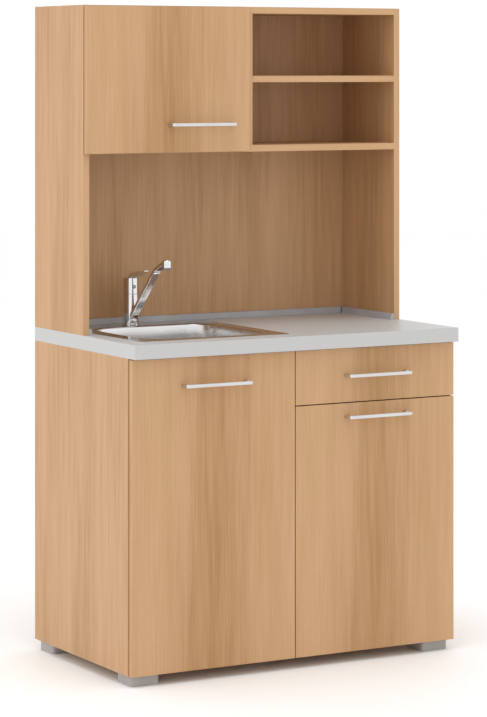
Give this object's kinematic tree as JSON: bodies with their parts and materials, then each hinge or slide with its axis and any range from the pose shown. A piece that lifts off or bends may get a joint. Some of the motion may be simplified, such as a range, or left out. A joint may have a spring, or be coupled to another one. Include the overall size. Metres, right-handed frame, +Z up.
{
  "type": "kitchenette unit",
  "caption": "Kitchenette with a beech-look lower cabinet, worktop with inset sink and mixer tap, drawer, and an upper cabinet with a door and open shelves.",
  "frame": {"origin": "on the floor, under the middle of the outer box", "axes": "+Z up, -Y out of the front (the doors), +X to the right seen from the front"},
  "size_m": [1, 0.612, 1.77],
  "materials": {
    "beech": "satin beech-look laminate",
    "worktop_laminate": "pale grey laminate, low sheen",
    "upstand_plastic": "grey plastic strip",
    "foot_plastic": "grey moulded plastic",
    "sink_steel": "brushed stainless steel with a polished rim",
    "tap_chrome": "polished chrome",
    "tap_brass": "machined brass",
    "aerator_plastic": "grey plastic",
    "index_grey": "grey index button with a pale middle",
    "handle_metal": "satin light metal",
    "fittings_steel": "nickel-plated steel",
    "runner_steel": "zinc-plated steel",
    "drawer_white": "white foil on board",
    "dowel_wood": "plain beech",
    "drain_plastic": "white plastic"
  },
  "bodies": {
    "cabinet": {"foot_front_left": "foot_plastic", "foot_front_right": "foot_plastic", "foot_rear_left": "foot_plastic", "foot_rear_right": "foot_plastic", "base_side_left": "beech", "base_side_right": "beech", "base_bottom": "beech", "base_partition": "beech", "base_back": "beech", "base_rails_front": "beech", "base_rails_rear": "beech", "base_shelf": "beech", "shelf_pins": "fittings_steel", "dowels": "dowel_wood", "cam_locks": "fittings_steel", "worktop": "worktop_laminate", "upstand": "upstand_plastic", "sink": "sink_steel", "sink_clips": "fittings_steel", "waste_body": "sink_steel", "waste_nut": "drain_plastic", "trap": "drain_plastic", "tap_base_ring": "tap_chrome", "tap_core": "tap_brass", "tap_shank_nut": "tap_brass", "tap_inlets": "tap_brass", "hutch_side_left": "beech", "hutch_side_right": "beech", "hutch_top": "beech", "hutch_bottom": "beech", "hutch_upright_left": "beech", "hutch_upright_right": "beech", "hutch_shelf_open": "beech", "hutch_shelf_closed": "beech", "hutch_back": "beech", "hinge_arms": "fittings_steel", "runners_fixed": "runner_steel"},
    "left_door": {"door_left": "beech", "handle_door_left": "handle_metal", "hinge_cups_door_left": "fittings_steel"},
    "right_door": {"door_right": "beech", "handle_door_right": "handle_metal", "hinge_cups_door_right": "fittings_steel"},
    "upper_door": {"door_upper": "beech", "handle_door_upper": "handle_metal", "hinge_cups_door_upper": "fittings_steel"},
    "drawer": {"drawer_front": "beech", "handle_drawer": "handle_metal", "drawer_sides": "drawer_white", "drawer_inner_front": "drawer_white", "drawer_back": "drawer_white", "drawer_bottom": "drawer_white", "runners_moving": "runner_steel"},
    "spout": {"tap_spout": "tap_chrome", "tap_aerator": "aerator_plastic"},
    "lever_head": {"tap_head": "tap_chrome", "tap_index": "index_grey"},
    "lever": {"tap_lever": "tap_chrome"},
    "strainer": {"strainer_basket": "sink_steel"}
  },
  "joints": [
    {"name": "left_door_hinge", "type": "hinge", "parent": "cabinet", "child": "left_door", "pos_m": [-0.491, -0.268, 0.438], "axis": [0, 0, -1], "range_deg": [0, 110]},
    {"name": "right_door_hinge", "type": "hinge", "parent": "cabinet", "child": "right_door", "pos_m": [0.491, -0.268, 0.364], "axis": [0, 0, 1], "range_deg": [0, 110]},
    {"name": "upper_door_hinge", "type": "hinge", "parent": "cabinet", "child": "upper_door", "pos_m": [-0.492, -0.008, 1.5705], "axis": [0, 0, -1], "range_deg": [0, 110]},
    {"name": "drawer_slide", "type": "slide", "parent": "cabinet", "child": "drawer", "axis": [0, -1, 0], "range_m": [0, 0.35]},
    {"name": "spout_swivel", "type": "hinge", "parent": "cabinet", "child": "spout", "pos_m": [-0.258, 0.201, 0.93], "axis": [0, 0, 1], "range_deg": [-60, 60]},
    {"name": "lever_turn", "type": "hinge", "parent": "cabinet", "child": "lever_head", "pos_m": [-0.258, 0.201, 1], "axis": [0, 0, 1], "range_deg": [-45, 45]},
    {"name": "lever_lift", "type": "hinge", "parent": "lever_head", "child": "lever", "pos_m": [-0.258, 0.197, 1.0122], "axis": [-1, 0, 0], "range_deg": [0, 25]},
    {"name": "strainer_lift", "type": "slide", "parent": "cabinet", "child": "strainer", "axis": [0, 0, 1], "range_m": [0, 0.04]}
  ]
}
